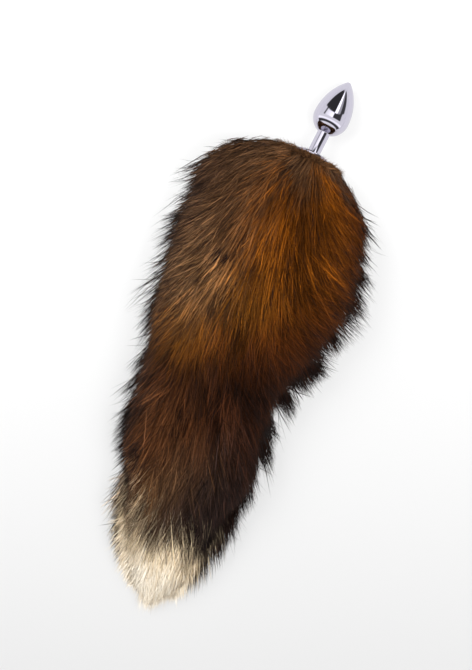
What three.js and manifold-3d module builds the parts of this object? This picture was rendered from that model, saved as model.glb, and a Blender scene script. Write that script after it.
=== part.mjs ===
// A fox tail plug lying on a flat surface: a polished metal plug (bulb, stem and flange turned in
// one piece), the hidden post on the flange's back, and the brushed tail that the post carries.
// Units are millimetres and degrees, +Z is up, and the surface that it lies on is z = 0.
// The origin is at the centre of the finished object's box, on that surface. +Y runs from the
// tail's tip towards the plug.
import * as THREE from "three";
import { mergeVertices } from "three/addons/utils/BufferGeometryUtils.js";
import Module from "manifold-3d";

const wasm = await Module();
wasm.setup();

const rad = THREE.MathUtils.degToRad;
const lerp = THREE.MathUtils.lerp;
const SLIGHT = 0.02; // a step that a direction is taken over
const WELD = 1e-4; // points closer than this are one

// Metal plug
const BULB_RADIUS = 14.6; // at its widest, which is also the radius of the round back
const OGIVE_RADIUS = 46; // arc from the widest circle to the nose
const NOSE_RADIUS = 2.8;
const STEM_RADIUS = 5.1;
const STEM_LENGTH = 20.6; // from the flange to the bulb
const FLANGE_RADIUS = 14;
const FLANGE_THICKNESS = 3;
const FLANGE_ROUNDING = 0.9; // of both rims
const STEM_FILLET = 1.8; // between flange and stem
const NECK_FILLET = 1.2; // between stem and bulb
const PLUG_SIDES = 40;
const PLUG_HEADING = 27; // from +Y towards +X, seen from above
const FLANGE_HEIGHT = 21; // centre of the flange's front above the surface

// Hidden post
const POST_RADIUS = 4;
const POST_LENGTH = 26;
const POST_SIDES = 24;

// Tail
const TAIL_LENGTH = 382; // along its spine, from the flange's front to the last hair
const TAIL_HALF_WIDTH = 90; // the furthest that the fur reaches to one side of the spine
const TAIL_HEIGHT = 84; // the highest fur above the surface
const ROOT_HEADING = 27; // of the spine, from -Y towards -X, where it leaves the flange
const TIP_HEADING = 14; // and at its tip
const TIP_AT = 0.85; // share of the length where the white tip begins
const BELLY = 0.36; // height of a section's widest line, as a share of its top
const CORE_REACH = 0.8; // how far the backing under the locks reaches, as a share of the fur
const CORE_END = 0.93; // share of the length
const CORE_SECTIONS = 22;
const SECTION_SIDES = 20;
const SUNK = 10; // how much of the fur's depth is pressed flat against the surface

// Locks, and the line where they turn white
const LOCK_LENGTH = 64;
const LOCK_WIDTH = 30;
const LOCK_THICKNESS = 12;
const LOCK_ROOT_REACH = 0.62; // where a lock starts inside the backing
const LOCK_ROOT_WIDTH = 0.8; // share of LOCK_WIDTH
const LOCK_FULLNESS = 1.6; // 0 gives a straight cone, and more fills its middle out
const LOCK_SIDES = 4;
const LOCK_RINGS = 3;
const LOWEST_LOCK = -24; // angle of a row's lowest locks, below the widest line
const LOCK_ROWS = 13;
const ROW_LOCKS = 9; // where the tail is widest
const LEAST_LOCKS = 4; // near the tip
const FIRST_ROW_AT = 0.02; // share of the length
const LAST_ROW_AT = 0.93;
const ROOT_SPREAD = 4.6; // how far a lock's root strays along the tail
const ANGLE_SPREAD = 0.25; // how far a lock strays sideways, as a share of the room that it has
const LENGTH_SPREAD = 0.12; // share of a lock's length
const LOCK_SEED = 5;
const TEETH = 8; // of the zigzag line where the fur turns white
const TOOTH_DEPTH = 20;
const TOOTH_SPREAD = 0.3; // share of a tooth's depth
const TOOTH_SEED = 11;

const GAP = 0.3; // between pieces that meet
const TOOTH_RUN = TAIL_HALF_WIDTH / TEETH; // half of a tooth's width
const TOOTH_SLOPE = Math.hypot(TOOTH_RUN, TOOTH_DEPTH * (1 + TOOTH_SPREAD));
const TIP_LINE_GAP = (GAP * TOOTH_SLOPE) / TOOTH_RUN; // along the tail, so GAP square to the slopes

// The fur's outline. at: share of the tail's length. left and right: share of TAIL_HALF_WIDTH, seen from
// above with the plug up. top: share of TAIL_HEIGHT.
const OUTLINE = [
  { at: 0.0, left: 0.3, right: 0.26, top: 0.52 },
  { at: 0.04, left: 0.66, right: 0.57, top: 0.7 },
  { at: 0.1, left: 0.87, right: 0.8, top: 0.86 },
  { at: 0.18, left: 0.91, right: 0.92, top: 0.96 },
  { at: 0.28, left: 0.86, right: 1.0, top: 1.0 },
  { at: 0.38, left: 0.84, right: 0.93, top: 0.96 },
  { at: 0.5, left: 0.71, right: 0.76, top: 0.85 },
  { at: 0.62, left: 0.65, right: 0.69, top: 0.75 },
  { at: 0.74, left: 0.56, right: 0.64, top: 0.64 },
  { at: 0.84, left: 0.47, right: 0.57, top: 0.53 },
  { at: 0.92, left: 0.22, right: 0.48, top: 0.4 },
  { at: 0.97, left: 0.06, right: 0.24, top: 0.26 },
  { at: 1.0, left: 0.01, right: 0.05, top: 0.1 },
];

const materials = {
  metal: new THREE.MeshStandardMaterial({ color: 0xd9dade, roughness: 0.08, metalness: 1 }),
  steel: new THREE.MeshStandardMaterial({ color: 0xa9abb0, roughness: 0.35, metalness: 1 }),
  brownFur: new THREE.MeshStandardMaterial({ color: 0x6b3c1c, roughness: 0.85, metalness: 0 }),
  whiteFur: new THREE.MeshStandardMaterial({ color: 0xe2d2b4, roughness: 0.85, metalness: 0 }),
};

// A closed geometry as a manifold-3d solid, and back.
function solidOf(geometry) {
  const bare = geometry.clone();
  bare.deleteAttribute("normal");
  bare.deleteAttribute("uv");
  const merged = mergeVertices(bare, WELD);
  return new wasm.Manifold(
    new wasm.Mesh({
      numProp: 3,
      vertProperties: new Float32Array(merged.attributes.position.array),
      triVerts: new Uint32Array(merged.index.array),
    }),
  );
}

function geometryOf(solid) {
  const { vertProperties, triVerts } = solid.getMesh();
  const geometry = new THREE.BufferGeometry();
  geometry.setAttribute("position", new THREE.BufferAttribute(vertProperties, 3));
  geometry.setIndex(new THREE.BufferAttribute(triVerts, 1));
  geometry.computeVertexNormals();
  return geometry;
}

function namedMesh(name, geometry, material) {
  const mesh = new THREE.Mesh(geometry, material);
  mesh.name = name;
  return mesh;
}

// Points of an arc as (radius, height) pairs, from one angle to another.
function arc(centreRadius, centreHeight, radius, from, to, steps) {
  return Array.from({ length: steps + 1 }, (_, i) => {
    const angle = lerp(from, to, i / steps);
    return new THREE.Vector2(
      centreRadius + radius * Math.cos(angle),
      centreHeight + radius * Math.sin(angle),
    );
  });
}

const BULB_HEIGHT = STEM_LENGTH + Math.sqrt(BULB_RADIUS ** 2 - STEM_RADIUS ** 2);

// The plug turned about +Y, with the flange's front at y = 0 and the nose at the top.
function plugGeometry() {
  const ogiveCentre = BULB_RADIUS - OGIVE_RADIUS;
  const noseHeight = BULB_HEIGHT + Math.sqrt((OGIVE_RADIUS - NOSE_RADIUS) ** 2 - ogiveCentre ** 2);
  const noseAngle = Math.atan2(noseHeight - BULB_HEIGHT, -ogiveCentre);
  const neckReach = STEM_RADIUS + NECK_FILLET;
  const neckDrop = Math.sqrt((BULB_RADIUS + NECK_FILLET) ** 2 - neckReach ** 2);
  const neckAngle = Math.atan2(neckDrop, -neckReach);
  const rim = FLANGE_RADIUS - FLANGE_ROUNDING;
  const profile = [
    new THREE.Vector2(0, -FLANGE_THICKNESS),
    ...arc(rim, FLANGE_ROUNDING - FLANGE_THICKNESS, FLANGE_ROUNDING, rad(-90), 0, 2),
    ...arc(rim, -FLANGE_ROUNDING, FLANGE_ROUNDING, 0, rad(90), 2),
    ...arc(STEM_RADIUS + STEM_FILLET, STEM_FILLET, STEM_FILLET, rad(270), rad(180), 3),
    ...arc(neckReach, BULB_HEIGHT - neckDrop, NECK_FILLET, rad(180), neckAngle, 2),
    ...arc(0, BULB_HEIGHT, BULB_RADIUS, neckAngle - Math.PI, 0, 8).slice(1),
    ...arc(ogiveCentre, BULB_HEIGHT, OGIVE_RADIUS, 0, noseAngle, 8).slice(1),
    ...arc(0, noseHeight, NOSE_RADIUS, noseAngle, rad(90), 3).slice(1, -1),
    new THREE.Vector2(0, noseHeight + NOSE_RADIUS),
  ];
  return new THREE.LatheGeometry(profile, PLUG_SIDES);
}

// How far the plug leans down, so that its bulb lies on the surface.
function plugDroop() {
  const toOgive = OGIVE_RADIUS - BULB_RADIUS;
  const lean = (OGIVE_RADIUS - FLANGE_HEIGHT) / Math.hypot(toOgive, BULB_HEIGHT);
  return Math.acos(lean) - Math.atan2(BULB_HEIGHT, toOgive);
}

const plugGroup = new THREE.Group();
plugGroup.position.set(0, 0, FLANGE_HEIGHT);
plugGroup.rotation.set(-plugDroop(), 0, -rad(PLUG_HEADING), "ZYX");
plugGroup.updateMatrixWorld(true);

// A cylinder along the plug's axis between two heights, in the plug's own frame.
function axisCylinder(radius, from, to, sides) {
  return new THREE.CylinderGeometry(radius, radius, to - from, sides).translate(0, (from + to) / 2, 0);
}

const POST_TOP = -FLANGE_THICKNESS - GAP;
const POST_FOOT = POST_TOP - POST_LENGTH;

function placedSolid(geometry) {
  return solidOf(geometry.clone().applyMatrix4(plugGroup.matrixWorld));
}

// The spine bends evenly from its root, under the flange's front, to its tip.
const SPINE_STEPS = 200;
const spinePoints = [new THREE.Vector3()];
for (let i = 0; i < SPINE_STEPS; i++) {
  const heading = rad(lerp(ROOT_HEADING, TIP_HEADING, (i + 0.5) / SPINE_STEPS));
  const step = new THREE.Vector3(-Math.sin(heading), -Math.cos(heading), 0);
  spinePoints.push(spinePoints[i].clone().addScaledVector(step, TAIL_LENGTH / SPINE_STEPS));
}

function spineAt(share) {
  const place = THREE.MathUtils.clamp(share, 0, 1) * SPINE_STEPS;
  const i = Math.min(Math.floor(place), SPINE_STEPS - 1);
  const heading = rad(lerp(ROOT_HEADING, TIP_HEADING, share));
  return {
    point: spinePoints[i].clone().lerp(spinePoints[i + 1], place - i),
    right: new THREE.Vector3(Math.cos(heading), -Math.sin(heading), 0),
  };
}

function outlineAt(share) {
  const at = THREE.MathUtils.clamp(share, 0, 1);
  const next = Math.max(1, OUTLINE.findIndex((row) => row.at >= at));
  const [a, b] = [OUTLINE[next - 1], OUTLINE[next]];
  const between = (at - a.at) / (b.at - a.at);
  return {
    left: lerp(a.left, b.left, between) * TAIL_HALF_WIDTH,
    right: lerp(a.right, b.right, between) * TAIL_HALF_WIDTH,
    top: lerp(a.top, b.top, between) * TAIL_HEIGHT,
  };
}

// A point of the fur. share: along the spine. side and rise: across the section and up it, where 1
// and -1 are the outline's right, left, top and underside.
function furPoint(share, side, rise) {
  const { point, right } = spineAt(share);
  const outline = outlineAt(share);
  const belly = BELLY * outline.top;
  const across = side * (side > 0 ? outline.right : outline.left);
  const up = rise * (rise > 0 ? outline.top - belly : belly + SUNK);
  return point.addScaledVector(right, across).setZ(belly + up);
}

// A closed three.js geometry as a solid, with each of its points carried to a new place.
function bentSolid(geometry, carry) {
  const points = geometry.attributes.position;
  for (let i = 0; i < points.count; i++) {
    const place = carry(new THREE.Vector3().fromBufferAttribute(points, i));
    points.setXYZ(i, place.x, place.y, place.z);
  }
  return solidOf(geometry);
}

// The backing under the locks: a cylinder that stands on the tail's far end, bent along the spine. Its
// underside has no locks, so it reaches as deep as the fur does.
function backing() {
  const cylinder = new THREE.CylinderGeometry(1, 1, 1, SECTION_SIDES, CORE_SECTIONS);
  return bentSolid(cylinder, ({ x, y, z }) =>
    furPoint(CORE_END * (0.5 - y), CORE_REACH * x, z > 0 ? CORE_REACH * z : z),
  );
}

// The next of a repeatable row of numbers from -1 to 1.
const jitter = () => 2 * THREE.MathUtils.seededRandom() - 1;

// One lock: a cone that leaves the backing at a share and an angle, and sweeps back and out to the
// outline. It is slimmer where the tail is narrower than TAIL_HALF_WIDTH.
function lock(share, angle, length) {
  const onRay = (at, turn, reach) => furPoint(at, Math.cos(turn) * reach, Math.sin(turn) * reach);
  const shareAt = (along) => Math.min(share + (along * length) / TAIL_LENGTH, 1);
  const centreAt = (along) =>
    onRay(shareAt(along), angle, lerp(LOCK_ROOT_REACH, 1, Math.sqrt(along)));
  const cone = new THREE.ConeGeometry(1, 1, LOCK_SIDES, LOCK_RINGS);
  return bentSolid(cone, ({ x, y, z }) => {
    const along = y + 0.5;
    const centre = centreAt(along);
    const forward = centreAt(along + SLIGHT).sub(centre).normalize();
    const beside = onRay(shareAt(along), angle + SLIGHT, 1)
      .sub(onRay(shareAt(along), angle - SLIGHT, 1))
      .projectOnPlane(forward)
      .normalize();
    const outward = new THREE.Vector3().crossVectors(beside, forward);
    const { left, right } = outlineAt(shareAt(along));
    const full = (LOCK_ROOT_WIDTH + LOCK_FULLNESS * along) * Math.min(1, (left + right) / TAIL_HALF_WIDTH);
    return centre
      .addScaledVector(beside, (x * full * LOCK_WIDTH) / 2)
      .addScaledVector(outward, (z * full * LOCK_THICKNESS) / 2);
  });
}

// Staggered rows of locks over the top and the sides.
function locks() {
  THREE.MathUtils.seededRandom(LOCK_SEED);
  const span = 180 - 2 * LOWEST_LOCK;
  const all = [];
  for (let row = 0; row < LOCK_ROWS; row++) {
    const rowShare = lerp(FIRST_ROW_AT, LAST_ROW_AT, row / (LOCK_ROWS - 1));
    const { left, right } = outlineAt(rowShare + LOCK_LENGTH / TAIL_LENGTH / 2);
    const count = Math.max(LEAST_LOCKS, Math.round((ROW_LOCKS * (left + right)) / (2 * TAIL_HALF_WIDTH)));
    for (let i = 0; i < count; i++) {
      const place = i + (row % 2) / 2 + ANGLE_SPREAD * jitter();
      const angle = LOWEST_LOCK + (span * place) / (count - 0.5);
      const share = rowShare + (ROOT_SPREAD * jitter()) / TAIL_LENGTH;
      const length = LOCK_LENGTH * (1 + LENGTH_SPREAD * jitter());
      const room = (1 - share) * TAIL_LENGTH * (1 - LENGTH_SPREAD * (1 + jitter()));
      all.push(lock(share, rad(angle), Math.min(length, room)));
    }
  }
  return all;
}

const joined = (solids) => wasm.Manifold.union(solids);

// The main body of a cut, without what it leaves loose and with what it closes in filled. It is read
// back from its mesh first, because the mesh's rounding can part a sliver from it.
function mainBody(solid) {
  const bodies = solidOf(geometryOf(solid)).decompose();
  return bodies.reduce((main, body) => (body.volume() > main.volume() ? body : main));
}

// Everything under the surface, which is taken off what is pressed against it.
function ground() {
  const size = 2 * TAIL_LENGTH + 2 * TAIL_HALF_WIDTH;
  return solidOf(new THREE.BoxGeometry(size, size, size).translate(0, 0, -size / 2));
}

// Everything beyond the zigzag line across the tail, and as much as extra before it.
function beyondTipLine(extra) {
  THREE.MathUtils.seededRandom(TOOTH_SEED);
  const { point, right } = spineAt(TIP_AT);
  const left = right.negate();
  const up = new THREE.Vector3(0, 0, 1);
  const forward = new THREE.Vector3().crossVectors(up, left);
  const outline = new THREE.Shape().moveTo(TAIL_HALF_WIDTH, TAIL_LENGTH);
  outline.lineTo(-TAIL_HALF_WIDTH, TAIL_LENGTH);
  for (let i = 0; i <= 2 * TEETH; i++) {
    const reach = (TOOTH_DEPTH * (1 + TOOTH_SPREAD * jitter())) / 2;
    outline.lineTo(i * TOOTH_RUN - TAIL_HALF_WIDTH, (i % 2 ? reach : -reach) - extra);
  }
  const slab = new THREE.ExtrudeGeometry(outline, { depth: 2 * TAIL_HEIGHT, bevelEnabled: false });
  const place = new THREE.Matrix4().makeBasis(left, forward, up).setPosition(point.setZ(-TAIL_HEIGHT / 2));
  return solidOf(slab.applyMatrix4(place));
}

// All of the fur, with room for the flange and the post.
function furSolid() {
  const seat = joined([
    placedSolid(axisCylinder(FLANGE_RADIUS + GAP, POST_TOP, STEM_LENGTH, PLUG_SIDES)),
    placedSolid(axisCylinder(POST_RADIUS + GAP, POST_FOOT - GAP, 0, POST_SIDES)),
  ]);
  return joined([backing(), ...locks()]).subtract(ground()).subtract(seat);
}

const fur = furSolid();
const tailSolid = mainBody(fur.subtract(beyondTipLine(TIP_LINE_GAP)));
const tipSolid = mainBody(fur.intersect(beyondTipLine(0)));

plugGroup.add(
  namedMesh("plug", plugGeometry(), materials.metal),
  namedMesh("tail_post", axisCylinder(POST_RADIUS, POST_FOOT, POST_TOP, POST_SIDES), materials.steel),
);
const object = new THREE.Group();
object.add(
  plugGroup,
  namedMesh("tail_fur", geometryOf(tailSolid), materials.brownFur),
  namedMesh("tip_fur", geometryOf(tipSolid), materials.whiteFur),
);

const box = new THREE.Box3().setFromObject(object, true);
const middle = box.getCenter(new THREE.Vector3());
object.position.set(-middle.x, -middle.y, -box.min.z);

export default object;
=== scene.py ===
import math
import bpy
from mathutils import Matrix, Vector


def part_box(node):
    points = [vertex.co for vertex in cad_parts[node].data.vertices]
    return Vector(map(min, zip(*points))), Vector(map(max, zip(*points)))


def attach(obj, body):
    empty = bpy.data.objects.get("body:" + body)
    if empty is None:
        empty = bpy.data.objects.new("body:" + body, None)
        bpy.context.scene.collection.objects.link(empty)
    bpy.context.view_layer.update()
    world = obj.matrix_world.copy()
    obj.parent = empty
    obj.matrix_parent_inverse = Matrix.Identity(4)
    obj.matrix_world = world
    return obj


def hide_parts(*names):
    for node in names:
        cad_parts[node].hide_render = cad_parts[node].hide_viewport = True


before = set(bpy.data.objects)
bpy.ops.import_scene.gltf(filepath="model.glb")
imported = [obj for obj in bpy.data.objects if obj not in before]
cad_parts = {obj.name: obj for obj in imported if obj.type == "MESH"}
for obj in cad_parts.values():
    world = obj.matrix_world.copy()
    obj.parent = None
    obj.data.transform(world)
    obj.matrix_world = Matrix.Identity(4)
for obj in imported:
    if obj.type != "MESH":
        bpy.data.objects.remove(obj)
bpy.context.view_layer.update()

from types import SimpleNamespace

import bpy
import numpy as np
from mathutils import Matrix, Vector

MM = 0.001

# Sizes of the plug, in millimetres
BULB_RADIUS = 14.6
OGIVE_RADIUS = 46
NOSE_RADIUS = 2.8
STEM_RADIUS = 5.1
STEM_LENGTH = 20.6
FLANGE_RADIUS = 14
FLANGE_THICKNESS = 3
FLANGE_ROUNDING = 0.9
STEM_FILLET = 1.8
NECK_FILLET = 1.2
PLUG_HEADING = 27
FLANGE_HEIGHT = 21
PLUG_SIDES = 128
EDGE_STEPS = 6
FILLET_STEPS = 8
BULB_STEPS = 28

# Sizes of the tail, in millimetres and degrees
TAIL_LENGTH = 382
TAIL_REACH = 90
TAIL_HEIGHT = 84
ROOT_HEADING = 27
TIP_HEADING = 14
BELLY = 0.36
LEAST_REACH = 1.5

# The fur's outline: share of the length, then the reach to the left and to the right as shares of
# TAIL_REACH, and the top as a share of TAIL_HEIGHT
OUTLINE = np.array([
    (0.00, 0.32, 0.26, 0.52),
    (0.04, 0.84, 0.62, 0.70),
    (0.10, 1.03, 0.85, 0.86),
    (0.18, 0.95, 0.93, 0.96),
    (0.28, 0.90, 1.00, 1.00),
    (0.38, 0.85, 0.87, 0.96),
    (0.50, 0.72, 0.67, 0.85),
    (0.62, 0.67, 0.66, 0.75),
    (0.69, 0.66, 0.75, 0.69),
    (0.76, 0.47, 0.58, 0.62),
    (0.84, 0.41, 0.42, 0.53),
    (0.92, 0.25, 0.37, 0.40),
    (0.97, 0.12, 0.24, 0.26),
    (1.00, 0.01, 0.05, 0.10),
])

# Where the photo's centre lies from the flange's front, in millimetres, and its scale
VIEW_CENTRE = Vector((-60.05, -141.3, 0)) * MM
VIEW_HEIGHT = 526 * MM
VIEW_DISTANCE = 1.6
FOCUS_HEIGHT = 25 * MM
SENSOR = 36

# The studio's brightness round the plug's axis: degrees from straight up, + to the right
SKY = [
    (-180, 0.74), (-78, 0.74), (-72, 0.03), (3, 0.03), (7, 1.7), (21, 1.7),
    (25, 0.45), (40, 0.35), (44, 0.05), (66, 0.05), (72, 0.74), (180, 0.74),
]
# The same over the stem and the bulb's back
SKY_LOW = [
    (-180, 0.74), (-60, 0.74), (-57, 0.1), (-52, 0.1), (-45, 0.9), (2, 1.4),
    (7, 0.04), (56, 0.05), (62, 0.74), (180, 0.74),
]
SKY_STRENGTH = 1.5
# Where that holds, and the brightness elsewhere: the way's part along the axis, + past the nose
SKY_HELD = [(-1, 0), (0.46, 0), (0.5, 1), (0.988, 1), (0.998, 0), (1, 0)]
SKY_LOW_HELD = [(-1, 0), (-0.02, 0), (0.04, 1), (0.5, 1), (0.54, 0), (1, 0)]
SKY_ENDS = [
    (-1, 0.7), (-0.68, 0.9), (-0.62, 0.05), (-0.46, 0.05),
    (-0.4, 1.1), (-0.28, 1.1), (-0.22, 0.76), (1, 0.74),
]

# The lamps: name, place in metres, width and height
LAMPS = [
    ("key", (-0.9, 0.6, 1.4), 1.2, 1.2),
    ("strip", (0.75, -0.38, 1.59), 0.6, 1.4),
]
LAMP_WATTS = 25

# The lit floor: its half size, and its brightness from the photo's lower part to its upper part
FLOOR_SIZE = 6
FLOOR_FROM = 0.5
FLOOR_STEEPNESS = 1.2
FLOOR_COLOUR = [(0.16, 0.16), (0.45, 0.2), (0.65, 0.25)]
FLOOR_GLOW = [(0.16, 0.5), (0.45, 0.58), (0.65, 0.62)]


def srgb(code):
    """A colour written as RRGGBB, as linear red, green, blue and alpha."""
    parts = [int(code[i:i + 2], 16) / 255 for i in (0, 2, 4)]
    linear = [c / 12.92 if c <= 0.04045 else ((c + 0.055) / 1.055) ** 2.4 for c in parts]
    return (*linear, 1.0)


def add_mesh(name, points, faces):
    mesh = bpy.data.meshes.new(name)
    mesh.from_pydata(points, [], faces)
    mesh.update()
    mesh.shade_smooth()
    piece = bpy.data.objects.new(name, mesh)
    bpy.context.scene.collection.objects.link(piece)
    return piece


class Nodes:
    """A short way to write the nodes of a material or of the world."""

    def __init__(self, owner):
        self.material = bpy.data.materials.new(owner) if isinstance(owner, str) else owner
        self.material.use_nodes = True
        self.tree = self.material.node_tree
        self.shader = self.tree.nodes.get("Principled BSDF")

    def add(self, kind, settings=None, **inputs):
        """Adds a node, with its inputs given by name, or by an i and the socket's number."""
        node = self.tree.nodes.new("ShaderNode" + kind)
        for key, value in (settings or {}).items():
            setattr(node, key, value)
        for key, value in inputs.items():
            number = key[1:]
            socket = int(number) if key[0] == "i" and number.isdigit() else key
            self.join(value, node.inputs[socket])
        return node

    def join(self, value, socket):
        if hasattr(value, "is_output"):
            self.tree.links.new(value, socket)
        else:
            socket.default_value = value

    def maths(self, operation, a, b=0.0, c=0.0, clamp=False):
        node = self.add("Math", {"operation": operation, "use_clamp": clamp}, i0=a, i1=b, i2=c)
        return node.outputs[0]

    def ramp(self, value, stops):
        node = self.add("ValToRGB", i0=value)
        elements = node.color_ramp.elements
        while len(elements) < len(stops):
            elements.new(0.5)
        for element, (place, colour) in zip(elements, stops):
            element.position = place
            element.color = srgb(colour) if isinstance(colour, str) else (colour, colour, colour, 1)
        return node.outputs[0]

    def mix(self, amount, a, b, blend="MIX"):
        node = self.add("Mix", {"data_type": "RGBA", "blend_type": blend})
        self.join(amount, node.inputs[0])
        self.join(a, node.inputs[6])
        self.join(b, node.inputs[7])
        return node.outputs[2]

    def attribute(self, name):
        return self.add("Attribute", {"attribute_name": name}).outputs["Fac"]

    def shaded(self, amount, colour, shade):
        """A colour multiplied by a shade, as far as amount says."""
        return self.mix(amount, colour, self.mix(1.0, colour, shade, "MULTIPLY"))

    def noise(self, scale, detail, vector):
        return self.add("TexNoise", Scale=scale, Detail=detail, Vector=vector).outputs["Fac"]


# The plug

def arc(centre_radius, centre_height, radius, start, end, steps):
    """Points on an arc of the plug's profile, as distances from its axis and heights along it."""
    angles = np.linspace(start, end, steps + 1)
    return [(centre_radius + radius * math.cos(a), centre_height + radius * math.sin(a)) for a in angles]


BULB_HEIGHT = STEM_LENGTH + math.sqrt(BULB_RADIUS ** 2 - STEM_RADIUS ** 2)


def plug_profile():
    """The plug's outline from its flange's back to its nose."""
    centre = BULB_RADIUS - OGIVE_RADIUS
    nose = BULB_HEIGHT + math.sqrt((OGIVE_RADIUS - NOSE_RADIUS) ** 2 - centre ** 2)
    nose_angle = math.atan2(nose - BULB_HEIGHT, -centre)
    neck_reach = STEM_RADIUS + NECK_FILLET
    neck_drop = math.sqrt((BULB_RADIUS + NECK_FILLET) ** 2 - neck_reach ** 2)
    neck_angle = math.atan2(neck_drop, -neck_reach)
    rim = FLANGE_RADIUS - FLANGE_ROUNDING
    quarter = math.pi / 2
    return [
        (0, -FLANGE_THICKNESS),
        *arc(rim, FLANGE_ROUNDING - FLANGE_THICKNESS, FLANGE_ROUNDING, -quarter, 0, EDGE_STEPS),
        *arc(rim, -FLANGE_ROUNDING, FLANGE_ROUNDING, 0, quarter, EDGE_STEPS),
        *arc(STEM_RADIUS + STEM_FILLET, STEM_FILLET, STEM_FILLET, 3 * quarter, math.pi, FILLET_STEPS),
        *arc(neck_reach, BULB_HEIGHT - neck_drop, NECK_FILLET, math.pi, neck_angle, EDGE_STEPS),
        *arc(0, BULB_HEIGHT, BULB_RADIUS, neck_angle - math.pi, 0, BULB_STEPS)[1:],
        *arc(centre, BULB_HEIGHT, OGIVE_RADIUS, 0, nose_angle, BULB_STEPS)[1:],
        *arc(0, nose, NOSE_RADIUS, nose_angle, quarter, FILLET_STEPS)[1:-1],
        (0, nose + NOSE_RADIUS),
    ]


def plug_droop():
    """How far the plug's nose points down when its bulb lies on the floor, in radians."""
    to_ogive = OGIVE_RADIUS - BULB_RADIUS
    lean = (OGIVE_RADIUS - FLANGE_HEIGHT) / math.hypot(to_ogive, BULB_HEIGHT)
    return math.acos(lean) - math.atan2(BULB_HEIGHT, to_ogive)


TURN = Matrix.Rotation(-math.radians(PLUG_HEADING), 4, "Z")
DROOP = Matrix.Rotation(-plug_droop(), 4, "X")
POLISHED_COLOUR = (0.55, 0.53, 0.62, 1)
POLISHED_ROUGHNESS = 0.03
STEEL_COLOUR = (0.55, 0.56, 0.58, 1)
STEEL_ROUGHNESS = 0.3
# The metal's marks: how many there are to the metre, and how much they roughen and darken it
SMUDGES = 90
TINTS = 40
GRAIN = 700
ROUGHENED = 2.2
DARKENED = 0.96


def metal_material(name, roughness, colour):
    nodes = Nodes(name)
    place = nodes.add("TexCoord").outputs["Object"]
    smudge = nodes.noise(SMUDGES, 3, place)
    marks = nodes.ramp(smudge, [(0.35, roughness), (0.75, roughness * ROUGHENED)])
    darker = tuple(DARKENED * part for part in colour[:3]) + (1,)
    tint = nodes.mix(nodes.noise(TINTS, 2, place), colour, darker)
    nodes.join(tint, nodes.shader.inputs["Base Color"])
    nodes.join(marks, nodes.shader.inputs["Roughness"])
    nodes.shader.inputs["Metallic"].default_value = 1.0
    bump = nodes.add("Bump", Strength=0.02, Distance=0.0002, Height=nodes.noise(GRAIN, 2, place))
    nodes.join(bump.outputs[0], nodes.shader.inputs["Normal"])
    return nodes.material


def turned(profile, sides):
    """A turned body's points, laid as the plug lies, and its faces."""
    points = []
    rings = []
    for radius, height in profile:
        if radius < 1e-6:
            rings.append([len(points)] * sides)
            points.append((0, height * MM, 0))
            continue
        rings.append(list(range(len(points), len(points) + sides)))
        for i in range(sides):
            angle = 2 * math.pi * i / sides
            points.append((radius * math.cos(angle) * MM, height * MM, radius * math.sin(angle) * MM))
    faces = []
    for low, high in zip(rings, rings[1:]):
        for i in range(sides):
            j = (i + 1) % sides
            corners = [low[i], high[i], high[j], low[j]]
            faces.append(list(dict.fromkeys(corners)))
    return [TURN @ DROOP @ Vector(p) for p in points], faces


def box_centre(points):
    low = [min(p[i] for p in points) for i in range(3)]
    high = [max(p[i] for p in points) for i in range(3)]
    return (Vector(low) + Vector(high)) / 2


def make_plug():
    """The polished plug in the solid one's place. Returns where the middle of its flange's front is."""
    points, faces = turned(plug_profile(), PLUG_SIDES)
    low, high = (Vector(c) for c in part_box("plug"))
    flange = (low + high) / 2 - box_centre(points)
    piece = add_mesh("plug_polished", [p + flange for p in points], faces)
    piece.data.materials.append(metal_material("polished_metal", POLISHED_ROUGHNESS, POLISHED_COLOUR))
    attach(piece, "root")
    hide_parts("plug")
    return flange


FLANGE = make_plug()

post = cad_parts["tail_post"]
post.data.materials.clear()
post.data.materials.append(metal_material("turned_steel", STEEL_ROUGHNESS, STEEL_COLOUR))


# The tail's frame

SPINE_STEPS = 400
OUTLINE_STEPS = 1000
OUTLINE_MARGIN = 200
OUTLINE_ROUNDING = 61


def heading_at(share):
    """The spine's heading in radians at shares of its length."""
    return np.radians(ROOT_HEADING + (TIP_HEADING - ROOT_HEADING) * share)


headings = heading_at((np.arange(SPINE_STEPS) + 0.5) / SPINE_STEPS)
step_length = TAIL_LENGTH * MM / SPINE_STEPS
SPINE_X = FLANGE.x + np.concatenate([[0], np.cumsum(-np.sin(headings) * step_length)])
SPINE_Y = FLANGE.y + np.concatenate([[0], np.cumsum(-np.cos(headings) * step_length)])
SPINE_AT = np.linspace(0, 1, SPINE_STEPS + 1)


def smoothed(column):
    """A column of the outline, with its corners rounded."""
    margin = OUTLINE_MARGIN / OUTLINE_STEPS
    fine = np.linspace(-margin, 1 + margin, OUTLINE_STEPS + 2 * OUTLINE_MARGIN + 1)
    values = np.interp(fine, OUTLINE[:, 0], OUTLINE[:, column])
    kernel = np.hanning(OUTLINE_ROUNDING)
    rounded = np.convolve(values, kernel / kernel.sum(), "same")
    inside = slice(OUTLINE_MARGIN, OUTLINE_MARGIN + OUTLINE_STEPS + 1)
    return fine[inside], rounded[inside]


OUTLINE_LEFT = smoothed(1)
OUTLINE_RIGHT = smoothed(2)
OUTLINE_TOP = smoothed(3)


def outline_at(share):
    """The fur's reach to the left and right and its top, in metres, at shares of the length."""
    left = np.maximum(np.interp(share, *OUTLINE_LEFT) * TAIL_REACH, LEAST_REACH) * MM
    right = np.maximum(np.interp(share, *OUTLINE_RIGHT) * TAIL_REACH, LEAST_REACH) * MM
    top = np.interp(share, *OUTLINE_TOP) * TAIL_HEIGHT * MM
    return left, right, top


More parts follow.
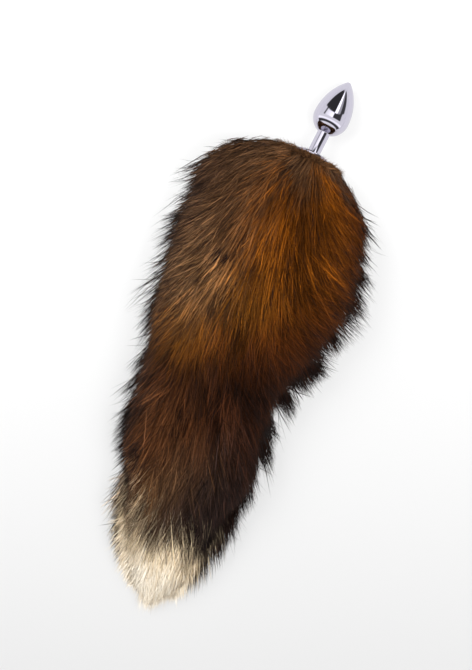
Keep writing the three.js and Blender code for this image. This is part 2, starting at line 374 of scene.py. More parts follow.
def fur_point(share, side, rise):
    """Points of the fur, from arrays of shares of the length and places in the section."""
    left, right, top = outline_at(share)
    heading = heading_at(share)
    belly = BELLY * top
    across = side * np.where(side > 0, right, left)
    z = belly + rise * np.where(rise > 0, top - belly, belly)
    past_ends = np.clip(share - 1, 0, None) + np.clip(share, None, 0)
    along = past_ends * TAIL_LENGTH * MM
    x = np.interp(share, SPINE_AT, SPINE_X) + across * np.cos(heading) - along * np.sin(heading)
    y = np.interp(share, SPINE_AT, SPINE_Y) - across * np.sin(heading) - along * np.cos(heading)
    return np.stack([x, y, z], axis=-1)


# Fur

HAIRS = 36500
COLLAR_HAIRS = 6000
LONG = TAIL_LENGTH * MM
COLUMN = (slice(None), None)
TO_PLUG = np.array([math.sin(math.radians(ROOT_HEADING)), math.cos(math.radians(ROOT_HEADING)), 0])

# A hair's four stations along its length, and its blade's width there
STATIONS = np.array([0, 0.33, 0.67, 1])
TAPER = np.array([0.8, 1.0, 0.75, 0])
WIDTH_SPREAD = 0.25
ROLL_SPREAD = 0.65
LOCK_WIDTH = 1.9
EDGE_WIDTH = 1.2

# How far out of the body hairs start and end, and how far to the side they may go: shares of the
# section, and in the last value millimetres more
ROOT_DEPTH = (0.52, 0.8)
END_DEPTH = 0.84
END_RISE = 0.15
TIP_SUNK = 0.12
FURTHEST_SIDE = 1.22
FURTHEST_MORE = 14

# How high hairs lie over the floor at least, what the outer ones add, and how far ends sag, in mm
LEAST_HEIGHT = 0.5
OUTER_HEIGHT = 3
SAG = 3

# Clumps: where they stand round the section in degrees, how many stand along the edges, and the
# girth in millimetres that they are shared out by
ALL_ROUND = (-60, 240)
EDGE_CLUMPS = 0.2
EDGE_SPREAD = 22
GIRTH_STEPS = 200
GIRTH_MORE = 20
LEAST_GIRTH = 12

# How far out clumps reach, as least, likely and most shares of the half width
EDGE_REACH = (0.79, 0.86, 0.97)
BODY_REACH = (0.77, 0.85, 0.91)

# Locks, which stand out of the edges: their share of the clumps there, their reach, and how many
# times a plain clump's hairs they have, which EDGE_WEIGHT gives for the edges' other clumps
BODY_LOCKS = (0.12, (0.96, 1.08, 1.25), 4.6)
TIP_LOCKS = (0.3, (0.96, 1.08, 1.5), 1.6)
EDGE_WEIGHT = 1.3

# Waves that clumps share: how many, and the least and most of their rates
BROAD_WAVES = (5, 1.0, 5.0)
FINE_WAVES = (6, 4.0, 12.0)
TONE_SHARED = 0.26
TONE_SPREAD = 0.22

# How clumps and hairs turn off the brushing, in degrees, and how much they curl
SHARED_TURN = 8
CLUMP_TURN = 12
EDGE_TURN = 6
STRAYS = 0.18
STRAY_TURN = 16
OWN_TURN = 4
BODY_CURL = 0.42
TIP_CURL = 0.35
BEND = 0.3
TURN_ALONG = 0.2
CURL_RATE = 3.2
CURL_REACH = 1.4
WAVE_RATE = 4.4
WAVE_STARTS = (0, 6)
WAVE_REACH = 0.7
EDGE_WAVE = 0.4

# How far a hair's end is drawn in to its clump's
STRAY_PULL = 0.1
EDGE_PULL = 0.9
BODY_PULL = 0.8
PULL_POWER = 1.4
END_SPREAD = 0.02

# Hair lengths: their spread, how they grow from the tail's root, and the share that they end at
CLUMP_LENGTH_SPREAD = 0.22
LENGTH_SPREAD = 0.15
TIP_LENGTH_SPREAD = 0.2
EDGE_LENGTH = 0.85
ROOT_LENGTH = 0.45
LENGTHENING = 5.5
SHORTEST = 5
LAST_END = 0.985
LAST_END_SPREAD = 0.028
TIP_LIMIT_SPREAD = 0.12
TIP_LIMIT = 1.4

# Dark ends: the chance of one on a lock, at an edge, elsewhere, and in the tip's dark and pale clumps
LOCK_DARK = 0.95
EDGE_DARK = 0.7
BODY_DARK = 0.12
TIP_DARK = (0.7, 0.05)
TIP_DARK_CLUMPS = 0.22
TIP_DARK_END = 0.86
TIP_DARK_FADE = 0.05

# Which way the hair is brushed, in degrees to the right of the spine seen from above: share of the
# length, then at the left edge, halfway to it, on the middle, halfway to the right edge and at it
BRUSHED_AT = (-0.9, -0.42, 0.0, 0.42, 0.9)
BRUSHED = np.array([
    (0.00, -58, -56, 5, 45, 57),
    (0.06, -36, -32, 14, 44, 57),
    (0.13, -34, -18, 16, 40, 56),
    (0.25, -38, -12, 14, 38, 60),
    (0.35, -28, -2, 10, 22, 56),
    (0.45, -18, 4, 12, 16, 54),
    (0.55, -24, 5, 8, 4, 34),
    (0.66, -23, 2, 2, -4, 20),
    (0.76, -22, -8, -2, 4, 16),
    (0.86, -22, -12, -3, 4, 10),
    (1.00, -8, -4, 0, 2, 4),
])


def brushed(share, side):
    """The brushing's angle in radians at places on the tail."""
    columns = [np.interp(share, BRUSHED[:, 0], angles) for angles in BRUSHED[:, 1:].T]
    total = np.zeros_like(side)
    for i in range(len(BRUSHED_AT) - 1):
        low, high = BRUSHED_AT[i], BRUSHED_AT[i + 1]
        part = np.clip((side - low) / (high - low), 0, 1)
        inside = (side >= low) & (side < high)
        total = np.where(inside, columns[i] * (1 - part) + columns[i + 1] * part, total)
    total = np.where(side < BRUSHED_AT[0], columns[0], total)
    total = np.where(side >= BRUSHED_AT[-1], columns[-1], total)
    return np.radians(total)


def waves(rng, count, low, high):
    """Random waves over the fur, which neighbouring clumps share."""
    field = []
    for _ in range(count):
        field.append((rng.uniform(low, high), rng.uniform(low, high), rng.uniform(0, 2 * np.pi)))
    return field


def sway(field, share, angle):
    """The sum of those waves at places on the tail."""
    total = sum(np.sin(a * share * 6 + b * angle + c) for a, b, c in field)
    return total / math.sqrt(len(field))


def fit_to_tip(root_share, from_spine, lean, length, limit):
    """How much of their length hairs keep so that they end inside the outline of the tail's tip."""
    kept = np.full_like(length, 0.3)
    for part in (0.4, 0.5, 0.6, 0.7, 0.8, 0.9, 1.0):
        end_share = root_share + np.cos(lean) * length * part / (TAIL_LENGTH * MM)
        end = from_spine + np.sin(lean) * length * part
        left, right, _ = outline_at(end_share)
        inside = (end < limit * right + 2 * MM) & (-end < limit * left + 2 * MM) & (end_share < 1.01)
        kept = np.where(inside, part, kept)
    return kept


def make_clumps(rng, count, shares, curl, tip):
    """Where clumps of hair stand over a stretch of the tail, and how each of them lies."""
    locks, lock_reach, lock_weight = TIP_LOCKS if tip else BODY_LOCKS
    clump = SimpleNamespace()
    fine = np.linspace(*shares, GIRTH_STEPS)
    girth = np.cumsum(sum(outline_at(fine)[:2]) + GIRTH_MORE * MM)
    clump.share = np.interp(rng.uniform(girth[0], girth[-1], count), girth, fine)
    clump.at_edge = rng.uniform(0, 1, count) < EDGE_CLUMPS
    edge_angle = 180 * rng.integers(0, 2, count) + EDGE_SPREAD * rng.standard_normal(count)
    clump.angle = np.radians(np.where(clump.at_edge, edge_angle, rng.uniform(*ALL_ROUND, count)))
    broad = waves(rng, *BROAD_WAVES)
    fine_waves = waves(rng, *FINE_WAVES)
    own_turn = np.where(clump.at_edge, EDGE_TURN, CLUMP_TURN) * curl * rng.standard_normal(count)
    clump.turn = np.radians(SHARED_TURN * sway(broad, clump.share, clump.angle) + own_turn)
    clump.length = np.exp(CLUMP_LENGTH_SPREAD * rng.standard_normal(count))
    clump.length = clump.length * np.where(clump.at_edge, EDGE_LENGTH, 1)
    shared_tone = 0.5 + TONE_SHARED * sway(fine_waves, clump.share, clump.angle)
    clump.tone = np.clip(shared_tone + TONE_SPREAD * rng.standard_normal(count), 0, 1)
    clump.rise = rng.uniform(0, 1, count)
    clump.lock = clump.at_edge & (rng.uniform(0, 1, count) < locks)
    edge_reach = rng.triangular(*EDGE_REACH, count)
    body_reach = rng.triangular(*BODY_REACH, count)
    clump.reach = np.where(clump.at_edge, edge_reach, body_reach)
    clump.reach = np.where(clump.lock, rng.triangular(*lock_reach, count), clump.reach)
    clump.dark_ended = clump.lock | (rng.uniform(0, 1, count) < TIP_DARK_CLUMPS)
    weight = np.where(clump.lock, lock_weight, np.where(clump.at_edge, EDGE_WEIGHT, 1.0))
    clump.part = weight / weight.sum()
    clump.curl = rng.standard_normal((count, 2)) * (1, curl)
    return clump


def grow(name, seed, width, shares, length, per_clump, spread, tip=False):
    """Grows hairs in clumps over a stretch of the tail, as one mesh of thin tapering blades."""
    hairs = HAIRS
    curl = TIP_CURL if tip else BODY_CURL
    rng = np.random.default_rng(seed)
    clumps = hairs // per_clump
    clump = make_clumps(rng, clumps, shares, curl, tip)
    of = rng.choice(clumps, hairs, p=clump.part)
    at_edge = clump.at_edge[of]
    lock = clump.lock[of]

    # each hair's root, and how far out of the body it starts and ends
    stray = rng.uniform(0, 1, hairs) < STRAYS
    off = rng.standard_normal((hairs, 2)) * spread * MM
    deep = rng.uniform(0, 1, hairs)
    root_share = clump.share[of] + off[:, 0] / LONG
    left, right, _ = outline_at(clump.share[of])
    root_angle = clump.angle[of] + off[:, 1] / np.maximum(0.5 * (left + right), LEAST_GIRTH * MM)
    root_reach = ROOT_DEPTH[0] + (ROOT_DEPTH[1] - ROOT_DEPTH[0]) * deep
    end_reach = END_DEPTH + END_RISE * (0.8 * clump.rise[of] + 0.2 * deep) - (TIP_SUNK if tip else 0)
    root_side = np.cos(root_angle) * root_reach
    root_width = np.where(root_side > 0, right, left)

    # its length and the way it lies
    grown = np.clip(ROOT_LENGTH + LENGTHENING * root_share, ROOT_LENGTH, 1)
    own_spread = np.exp(LENGTH_SPREAD * rng.standard_normal(hairs))
    own_length = length * clump.length[of] * grown * own_spread
    room = (LAST_END + LAST_END_SPREAD * rng.standard_normal(hairs) - root_share) * TAIL_LENGTH
    own_length = np.clip(own_length, SHORTEST, np.maximum(room, SHORTEST + 1)) * MM
    own_turn = np.where(stray, STRAY_TURN, OWN_TURN) * rng.standard_normal(hairs)
    lean = brushed(root_share, np.cos(root_angle)) + (clump.turn[of] + np.radians(own_turn))
    if tip:
        limit = clump.reach[of] * (1 + TIP_LIMIT_SPREAD * rng.standard_normal(hairs))
        limit = np.minimum(limit, TIP_LIMIT)
        own_length *= np.exp(TIP_LENGTH_SPREAD * rng.standard_normal(hairs))
        own_length *= fit_to_tip(root_share, root_side * root_width, lean, own_length, limit)

    # the hair seen from above: forward along the spine, and sideways from it
    t = STATIONS[None, :]
    bend = BEND * curl * rng.standard_normal(hairs)
    lean_along = lean[COLUMN] * (1 + TURN_ALONG * (t - 0.5)) + bend[COLUMN] * (t - 0.5)
    step = own_length[COLUMN] * np.diff(STATIONS, prepend=0)[None, :]
    forward = np.cumsum(np.cos(lean_along) * step, axis=1) / LONG
    sideways = np.cumsum(np.sin(lean_along) * step, axis=1)
    wave = np.where(at_edge, EDGE_WAVE, 1.0)[COLUMN] * MM * t
    curled = np.sin(t * CURL_RATE + clump.curl[of, :1]) * clump.curl[of, 1:]
    sideways += curled * CURL_REACH * wave
    own_start = rng.uniform(*WAVE_STARTS, (hairs, 1))
    waved = np.sin(t * WAVE_RATE + own_start) * rng.standard_normal((hairs, 1))
    sideways += waved * WAVE_REACH * wave

    # its end drawn in to its clump's, and the whole hair in where it would reach too far out
    pull = np.where(stray, STRAY_PULL, np.where(at_edge, EDGE_PULL, BODY_PULL))
    pull = pull[COLUMN] * t ** PULL_POWER
    share = np.maximum(root_share[COLUMN] + forward - off[:, :1] / LONG * pull, 0)
    side_pull = off[:, 1] * np.sin(root_angle) * root_reach
    from_spine = (root_side * root_width)[COLUMN]
    from_spine = from_spine + sideways + side_pull[COLUMN] * pull
    left, right, _ = outline_at(share)
    end_limit = clump.reach[of] + END_SPREAD * rng.standard_normal(hairs)
    over_right = np.maximum(from_spine[:, -1] - end_limit * right[:, -1], 0)
    over_left = np.maximum(-from_spine[:, -1] - end_limit * left[:, -1], 0)
    if not tip:
        from_spine = from_spine + (over_left - over_right)[COLUMN]
    own_width = np.where(from_spine > 0, right, left)
    side = from_spine / own_width

    # its height over the belly, from how far out of the body it lies
    reach = root_reach[COLUMN] + (end_reach - root_reach)[COLUMN] * np.sqrt(t)
    level = np.sqrt(np.maximum(reach ** 2 - side ** 2, 0))
    rise = np.where(np.sin(root_angle)[COLUMN] < 0, -level, level)
    furthest = FURTHEST_SIDE + FURTHEST_MORE * MM / own_width
    points = fur_point(share, np.clip(side, -furthest, furthest), rise)
    lowest = LEAST_HEIGHT * MM + OUTER_HEIGHT * MM * deep[COLUMN]
    points[..., 2] = np.maximum(points[..., 2] - SAG * MM * t ** 2, lowest)
    inner = fur_point(share, np.zeros_like(share), np.full_like(share, -0.2))
    widened = np.where(lock, LOCK_WIDTH, np.where(at_edge, EDGE_WIDTH, 1))
    piece = blades(name, points, inner, width * widened[COLUMN], rng)

    # what its colour is read from
    chance = np.where(lock, LOCK_DARK, np.where(at_edge, EDGE_DARK, BODY_DARK))
    if tip:
        chance = np.where(clump.dark_ended[of], *TIP_DARK)
        chance = chance * np.clip((TIP_DARK_END - root_share) / TIP_DARK_FADE, 0, 1)
    guard = rng.uniform(0, 1, hairs) < chance
    ones = np.ones_like(share)
    set_values(piece.data, {
        "along": t * ones,
        "share": root_share[COLUMN] + 0.35 * (share - share[:, :1]),
        "side": side[:, :1] + 0.3 * (side - side[:, :1]),
        "tone": clump.tone[of][COLUMN] * ones,
        "own": rng.uniform(0, 1, hairs)[COLUMN] * ones,
        "guard": guard[COLUMN] * ones,
    })
    return piece


def blades(name, points, inner, width, rng):
    """One mesh with a thin tapering blade along each hair, facing away from the inner points."""
    hairs, stations = points.shape[:2]
    tangent = np.gradient(points, axis=1)
    tangent /= np.linalg.norm(tangent, axis=-1, keepdims=True) + 1e-9
    outward = points - inner
    outward /= np.linalg.norm(outward, axis=-1, keepdims=True) + 1e-9
    across = np.cross(tangent, outward)
    across /= np.linalg.norm(across, axis=-1, keepdims=True) + 1e-9
    other = np.cross(across, tangent)
    roll = (ROLL_SPREAD * rng.standard_normal(hairs))[:, None, None]
    across = across * np.cos(roll) + other * np.sin(roll)
    own_width = np.exp(WIDTH_SPREAD * rng.standard_normal(hairs))
    half = 0.5 * width * MM * own_width[COLUMN] * TAPER[None, :]
    pairs = np.stack([points - across * half[..., None], points + across * half[..., None]], axis=2)
    verts = np.concatenate([pairs[:, :-1].reshape(hairs, -1, 3), points[:, -1:, :]], axis=1)
    per = verts.shape[1]
    quads = [[2 * i, 2 * i + 1, 2 * i + 3, 2 * i + 2] for i in range(stations - 2)]
    corners = np.array(sum(quads, []) + [per - 3, per - 2, per - 1])
    loops = (np.arange(hairs) * per)[:, None] + corners[None, :]
    starts = np.arange(hairs)[:, None] * len(corners) + 4 * np.arange(stations - 1)[None, :]
    mesh = bpy.data.meshes.new(name)
    mesh.vertices.add(hairs * per)
    mesh.vertices.foreach_set("co", verts.astype(np.float32).ravel())
    mesh.loops.add(loops.size)
    mesh.loops.foreach_set("vertex_index", loops.astype(np.int32).ravel())
    mesh.polygons.add(starts.size)
    mesh.polygons.foreach_set("loop_start", starts.astype(np.int32).ravel())
    mesh.polygons.foreach_set("use_smooth", np.ones(starts.size, dtype=bool))
    mesh.update(calc_edges=True)
    add_bake_map(mesh, hairs, stations)
    piece = bpy.data.objects.new(name, mesh)
    bpy.context.scene.collection.objects.link(piece)
    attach(piece, "root")
    return piece


# The collar: its place behind the flange, where hairs start, their lengths, all in mm, and their lean
COLLAR_DEPTH = 6
COLLAR_RADII = (11, 22)
COLLAR_LENGTHS = (4, 9)
COLLAR_LOWEST = 0.6
COLLAR_LEAN = (55, 18)
COLLAR_TWIST = 0.35
COLLAR_FLARE = 0.35
COLLAR_FROM = 0.4
COLLAR_TONES = (0.1, 0.65)


def grow_collar(name, seed, width):
    """Short soft hairs that stand out of the tail's end, round and over the plug's base plate."""
    hairs = COLLAR_HAIRS
    rng = np.random.default_rng(seed)
    t = STATIONS[None, :, None]
    beside = np.array([TO_PLUG[1], -TO_PLUG[0], 0])
    around = rng.uniform(0, 2 * np.pi, hairs)
    radial = np.cos(around)[:, None] * beside + np.sin(around)[:, None] * np.array([0, 0, 1])
    centre = np.array(FLANGE) - TO_PLUG * COLLAR_DEPTH * MM
    roots = centre + radial * (rng.uniform(*COLLAR_RADII, hairs) * MM)[:, None]
    lean = np.radians(rng.normal(*COLLAR_LEAN, hairs))[:, None]
    twist = COLLAR_TWIST * rng.standard_normal((hairs, 1)) * np.cross(TO_PLUG, radial)
    way = np.cos(lean) * TO_PLUG + np.sin(lean) * radial + twist
    length = (rng.uniform(*COLLAR_LENGTHS, hairs) * MM)[:, None, None]
    points = roots[:, None, :] + way[:, None, :] * length * t
    points += radial[:, None, :] * length * COLLAR_FLARE * t ** 2
    points[..., 2] = np.maximum(points[..., 2], COLLAR_LOWEST * MM)
    piece = blades(name, points, np.broadcast_to(centre, points.shape), width, rng)
    ones = np.ones((hairs, len(STATIONS)))
    set_values(piece.data, {
        "along": np.clip(COLLAR_FROM + t[..., 0], 0, 1) * ones,
        "share": 0.0 * ones,
        "side": 0.0 * ones,
        "tone": rng.uniform(*COLLAR_TONES, hairs)[:, None] * ones,
        "own": rng.uniform(0, 1, hairs)[:, None] * ones,
        "guard": 0 * ones,
    })
    return piece


def set_values(mesh, values):
    """Writes a value for each point of each hair to that point's vertices."""
    for key, value in values.items():
        pairs = np.repeat(value[:, :-1], 2, axis=1)
        each = np.concatenate([pairs, value[:, -1:]], axis=1)
        layer = mesh.attributes.new(key, "FLOAT", "POINT")
        layer.data.foreach_set("value", each.astype(np.float32).ravel())


MAP_COLUMNS = 512
MARGIN_ACROSS = 0.15
MARGIN_ALONG = 0.04


def add_bake_map(mesh, hairs, stations):
    """Gives each hair a small cell of its own on the map that its colour is baked to."""
    rows = math.ceil(hairs / MAP_COLUMNS)
    steps = stations - 1
    corner = []
    for i in range(steps - 1):
        corner += [(0, i), (1, i), (1, i + 1), (0, i + 1)]
    corner += [(0, steps - 1), (1, steps - 1), (0.5, steps)]
    corner = np.array(corner, dtype=float)
    corner[:, 0] = MARGIN_ACROSS + (1 - 2 * MARGIN_ACROSS) * corner[:, 0]
    corner[:, 1] = MARGIN_ALONG + (1 - 2 * MARGIN_ALONG) * corner[:, 1] / steps
    number = np.arange(hairs)
    u = ((number % MAP_COLUMNS)[:, None] + corner[None, :, 0]) / MAP_COLUMNS
    v = ((number // MAP_COLUMNS)[:, None] + corner[None, :, 1]) / rows
    layer = mesh.uv_layers.new(name="OFBake")
    layer.data.foreach_set("uv", np.stack([u, v], axis=-1).astype(np.float32).ravel())


# Hair colours. UMBER where it lies at the tail's root, and TAUPE on the tail's left side, are partly the
# fur's own colour and partly painted sheen.
UMBER = "6e4e34"
RUST = "6d3a08"
COPPER = "7b4a12"
TAUPE = "946d49"
ASH = "8b7566"
BARK = "5f391e"
CHESTNUT = "5c2e0b"
LOAM = "4e2a13"
PEAT = "1c0e08"
DARK = "381d0f"
SMOKE = "46342b"
SOOT = "2a1f1c"
CREAM = "d8c29e"
WHITE = "e6ddcd"

# Colours along the tail, at the left edge, halfway to it, on the middle, halfway right and at the edge.
# The umber at the tail's root and the light taupe on its left side hold painted sheen as well as the
# fur's own colour.
BANDS = {
    -0.85: [
        (0.0, UMBER), (0.1, SMOKE), (0.69, SMOKE), (0.75, ASH), (0.8, CREAM), (0.92, WHITE),
    ],
    -0.42: [
        (0.0, UMBER), (0.14, UMBER), (0.33, TAUPE), (0.42, COPPER), (0.475, LOAM), (0.54, BARK),
        (0.66, BARK), (0.72, TAUPE), (0.785, CREAM), (0.92, WHITE),
    ],
    0.0: [
        (0.0, UMBER), (0.07, RUST), (0.2, RUST), (0.32, COPPER), (0.4, CHESTNUT), (0.465, PEAT),
        (0.49, PEAT), (0.56, LOAM), (0.68, UMBER), (0.75, SOOT), (0.77, SOOT), (0.81, CREAM),
        (0.94, WHITE),
    ],
    0.42: [
        (0.0, UMBER), (0.05, RUST), (0.22, RUST), (0.35, CHESTNUT), (0.45, PEAT), (0.54, DARK),
        (0.64, SOOT), (0.76, SOOT), (0.81, CREAM), (0.93, WHITE),
    ],
    0.85: [
        (0.0, SMOKE), (0.07, CHESTNUT), (0.2, DARK), (0.6, DARK), (0.81, SOOT), (0.86, CREAM),
        (0.94, WHITE),
    ],
}
# How far clumps stray along the bands, and hairs across them
BAND_STRAY = 0.08
BAND_WANDER = 0.3

# Shades over those colours: by clump, by hair and along a hair, each with how much of it holds at shares
# of the tail's length. The clump and hair shades are partly random tone and partly painted shade in the
# gaps between clumps and painted highlight on their crests. The shade along a hair is partly the fur's
# darker undercoat and partly painted shade deep in the fur: it darkens the roots and lightens the ends.
CLUMP_TONE_AND_PAINTED_SHADE = [(0.05, 0.15), (0.5, 0.62), (0.95, 1.7)]
CLUMP_TONE_AND_PAINTED_SHADE_HELD = [(0.0, 0.4), (0.12, 0.9), (0.76, 1.0), (0.82, 0.12)]
HAIR_TONE_AND_PAINTED_SHADE = [(0.0, 0.35), (0.5, 0.9), (1.0, 1.9)]
HAIR_TONE_AND_PAINTED_SHADE_HELD = [(0.76, 1.0), (0.82, 0.1)]
ROOT_UNDERCOAT_AND_PAINTED_SHADE = [(0.0, 0.2), (0.35, 0.55), (0.7, 1.0), (1.0, 1.3)]
ROOT_UNDERCOAT_AND_PAINTED_SHADE_HELD = [(0.0, 0.2), (0.1, 0.9), (0.76, 1.0), (0.83, 0.05)]
END_HELD = [(0.45, 0.0), (0.7, 1.0)]
END_COLOUR = "1a1210"
HAIR_ROUGHNESS = [(0.0, 0.5), (1.0, 0.7)]
HAIR_SHINE = 0.06


def fur_material(name):
    nodes = Nodes(name)
    along = nodes.attribute("along")
    tone = nodes.attribute("tone")
    own = nodes.attribute("own")
    guard = nodes.attribute("guard")
    stray = nodes.maths("MULTIPLY", nodes.maths("SUBTRACT", tone, 0.5), BAND_STRAY)
    share = nodes.maths("ADD", nodes.attribute("share"), stray)
    wander = nodes.maths("MULTIPLY", nodes.maths("SUBTRACT", own, 0.5), BAND_WANDER)
    side = nodes.maths("ADD", nodes.attribute("side"), wander)
    colour = None
    before = None
    for place, stops in BANDS.items():
        band = nodes.ramp(share, stops)
        if colour is None:
            colour = band
        else:
            past = nodes.maths("SUBTRACT", side, before)
            amount = nodes.maths("DIVIDE", past, place - before, clamp=True)
            colour = nodes.mix(amount, colour, band)
        before = place
    # Painted shade and highlight, together with random tone and the darker undercoat, multiplied over
    # the bands' colours
    for value, shades, held in (
        (tone, CLUMP_TONE_AND_PAINTED_SHADE, CLUMP_TONE_AND_PAINTED_SHADE_HELD),
        (own, HAIR_TONE_AND_PAINTED_SHADE, HAIR_TONE_AND_PAINTED_SHADE_HELD),
        (along, ROOT_UNDERCOAT_AND_PAINTED_SHADE, ROOT_UNDERCOAT_AND_PAINTED_SHADE_HELD),
    ):
        colour = nodes.shaded(nodes.ramp(share, held), colour, nodes.ramp(value, shades))
    ends = nodes.maths("MULTIPLY", guard, nodes.ramp(along, END_HELD))
    colour = nodes.mix(ends, colour, srgb(END_COLOUR))
    nodes.join(colour, nodes.shader.inputs["Base Color"])
    nodes.join(nodes.ramp(own, HAIR_ROUGHNESS), nodes.shader.inputs["Roughness"])
    nodes.shader.inputs["Specular IOR Level"].default_value = HAIR_SHINE
    return nodes.material


# The felted fur under the hairs: its colours along the tail, and its marks as counts to the metre
CORE_COLOURS = [
    (0.0, "2a1c14"), (0.3, "3a2110"), (0.6, "20130d"),
    (0.82, "1c120d"), (0.86, "8e7757"), (1.0, "b9a88c"),
]
SPECKLES = 220
SPECKLE_SHADES = [(0.3, 0.6), (0.7, 1.2)]
FELT = 500
CORE_ROUGHNESS = 0.95

# Its shape: rings along it, points to a ring, and how far out it reaches as shares of the section
CORE_RINGS = 60
CORE_SIDES = 48
CORE_REACH = 0.7
CORE_RIPPLE = 0.03
CORE_BELLY = 0.94


def core_material():
    nodes = Nodes("underfur")
    place = nodes.add("TexCoord").outputs["Object"]
    speckle = nodes.ramp(nodes.noise(SPECKLES, 4, place), SPECKLE_SHADES)
    plain = nodes.ramp(nodes.attribute("share"), CORE_COLOURS)
    colour = nodes.mix(1.0, plain, speckle, "MULTIPLY")
    nodes.join(colour, nodes.shader.inputs["Base Color"])
    nodes.shader.inputs["Roughness"].default_value = CORE_ROUGHNESS
    bump = nodes.add("Bump", Strength=0.8, Distance=0.002, Height=nodes.noise(FELT, 4, place))
    nodes.join(bump.outputs[0], nodes.shader.inputs["Normal"])
    return nodes.material


def make_core(name, start, end, node, material):
    """The felted fur under the hairs, as a closed body along a stretch of the tail."""
    rings = CORE_RINGS
    sides = CORE_SIDES
    share = np.linspace(start, end, rings)[:, None] * np.ones((1, sides))
    angle = np.linspace(0, 2 * np.pi, sides, endpoint=False)[None, :] * np.ones((rings, 1))
    ripple = CORE_RIPPLE * np.sin(9 * angle + 40 * share) * np.cos(31 * share + 5 * angle)
    reach = CORE_REACH + ripple
    rise = np.sin(angle) * np.where(np.sin(angle) > 0, reach, CORE_BELLY)
    points = fur_point(share, np.cos(angle) * reach, rise)
    verts = [tuple(p) for p in points.reshape(-1, 3)]
    faces = []
    for ring in range(rings - 1):
        for side in range(sides):
            here = ring * sides + side
            beside = ring * sides + (side + 1) % sides
            faces.append([here, beside, beside + sides, here + sides])
    faces.append(list(range(sides))[::-1])
    faces.append([(rings - 1) * sides + i for i in range(sides)])
    piece = add_mesh(name, verts, faces)
    layer = piece.data.attributes.new("share", "FLOAT", "POINT")
    layer.data.foreach_set("value", share.astype(np.float32).ravel())
    piece.data.materials.append(material)
    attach(piece, "root")
    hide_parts(node)
    return piece


underfur = core_material()
make_core("tail_underfur", 0.012, 0.86, "tail_fur", underfur)
make_core("tip_underfur", 0.862, 0.94, "tip_fur", underfur)

fur = fur_material("fur")

# Stretches of fur: shares of the tail's length, then hair length in mm, hairs to a clump and how far
# they stand from its middle in mm
STRETCHES = [
    ((0.0, 0.2), 30, 14, 2.2),
    ((0.16, 0.38), 34, 16, 2.4),
    ((0.34, 0.57), 42, 24, 3.0),
    ((0.53, 0.735), 50, 34, 3.6),
]
TIP_STRETCH = ((0.715, 0.94), 68, 30, 3.2)
HAIR_WIDTH = 0.33
TIP_HAIR_WIDTH = 0.34
COLLAR_HAIR_WIDTH = 0.3
BODY_SEED = 100
TIP_SEED = 120
COLLAR_SEED = 140

for number, stretch in enumerate(STRETCHES):
    piece = grow(f"fur_{number + 1}", BODY_SEED + number, HAIR_WIDTH, *stretch)
    piece.data.materials.append(fur)
piece = grow_collar("fur_collar", COLLAR_SEED, COLLAR_HAIR_WIDTH)
piece.data.materials.append(fur)
piece = grow("fur_tip", TIP_SEED, TIP_HAIR_WIDTH, *TIP_STRETCH, tip=True)
piece.data.materials.append(fur)


# Camera, floor and light

def make_camera():
    data = bpy.data.cameras.new("camera")
    data.sensor_width = SENSOR
    data.lens = SENSOR * (VIEW_DISTANCE - FOCUS_HEIGHT) / VIEW_HEIGHT
    camera = bpy.data.objects.new("camera", data)
    camera.location = Vector((FLANGE.x, FLANGE.y, 0)) + VIEW_CENTRE + Vector((0, 0, VIEW_DISTANCE))
    bpy.context.scene.collection.objects.link(camera)
    bpy.context.scene.camera = camera


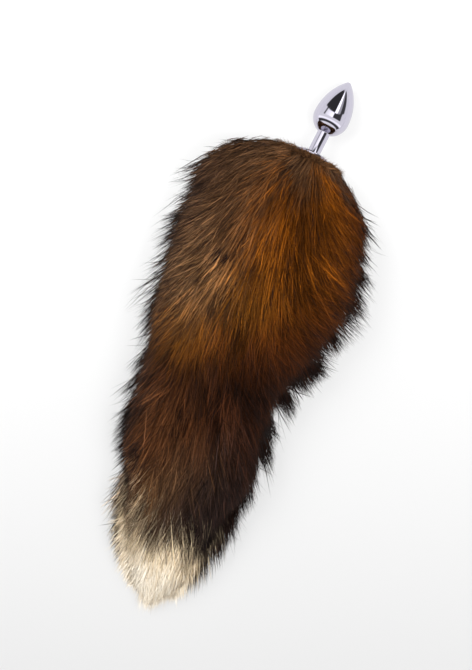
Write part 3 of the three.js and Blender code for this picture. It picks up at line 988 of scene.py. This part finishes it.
def make_floor():
    size = FLOOR_SIZE
    points = [(-size, -size, 0), (size, -size, 0), (size, size, 0), (-size, size, 0)]
    floor = add_mesh("floor", points, [[0, 1, 2, 3]])
    nodes = Nodes("floor")
    split = nodes.add("SeparateXYZ", i0=nodes.add("TexCoord").outputs["Object"])
    scaled = nodes.maths("MULTIPLY", split.outputs["Y"], FLOOR_STEEPNESS)
    along = nodes.maths("ADD", scaled, FLOOR_FROM)
    nodes.join(nodes.ramp(along, FLOOR_COLOUR), nodes.shader.inputs["Base Color"])
    nodes.shader.inputs["Roughness"].default_value = 0.9
    nodes.shader.inputs["Emission Color"].default_value = (1, 1, 1, 1)
    nodes.join(nodes.ramp(along, FLOOR_GLOW), nodes.shader.inputs["Emission Strength"])
    floor.data.materials.append(nodes.material)


def add_light(name, place, width, height):
    """A soft lamp that points at the middle of the object and doesn't show in the metal."""
    data = bpy.data.lights.new(name, "AREA")
    data.shape = "ELLIPSE"
    data.size = width
    data.size_y = height
    data.energy = LAMP_WATTS
    lamp = bpy.data.objects.new(name, data)
    lamp.location = place
    lamp.visible_glossy = False
    lamp.rotation_euler = (-Vector(place)).to_track_quat("-Z", "Y").to_euler()
    bpy.context.scene.collection.objects.link(lamp)


def round_stops(levels):
    """Stops for a ramp from levels at degrees round the plug's axis."""
    return [(0.5 + angle / 360, level) for angle, level in levels]


def along_stops(levels):
    """Stops for a ramp from levels at parts of the way along the plug's axis."""
    return [(0.5 + 0.5 * part, level) for part, level in levels]


def make_light():
    """A bright studio, dark over the plug's crown and with a bright strip to the right of it."""
    world = bpy.data.worlds.new("studio")
    bpy.context.scene.world = world
    world.use_nodes = True
    sky = Nodes(world)
    place = sky.add("TexCoord").outputs["Generated"]
    heading = math.radians(PLUG_HEADING)
    turn = sky.add("VectorRotate", {"rotation_type": "Z_AXIS"}, Vector=place, Angle=heading)
    split = sky.add("SeparateXYZ", i0=turn.outputs[0])
    across = sky.maths("ARCTAN2", split.outputs["X"], split.outputs["Z"])
    degrees = sky.maths("MULTIPLY_ADD", across, 0.5 / math.pi, 0.5)
    forward = sky.maths("MULTIPLY_ADD", split.outputs["Y"], 0.5, 0.5)
    round_axis = sky.ramp(degrees, round_stops(SKY))
    held = sky.ramp(forward, along_stops(SKY_HELD))
    low = sky.ramp(degrees, round_stops(SKY_LOW))
    low_held = sky.ramp(forward, along_stops(SKY_LOW_HELD))
    ends = sky.ramp(forward, along_stops(SKY_ENDS))
    background = sky.tree.nodes["Background"]
    sky.join(sky.mix(held, sky.mix(low_held, ends, low), round_axis), background.inputs["Color"])
    background.inputs["Strength"].default_value = SKY_STRENGTH
    for lamp in LAMPS:
        add_light(*lamp)
    bpy.context.scene.view_settings.view_transform = "Standard"


make_camera()
make_floor()
make_light()
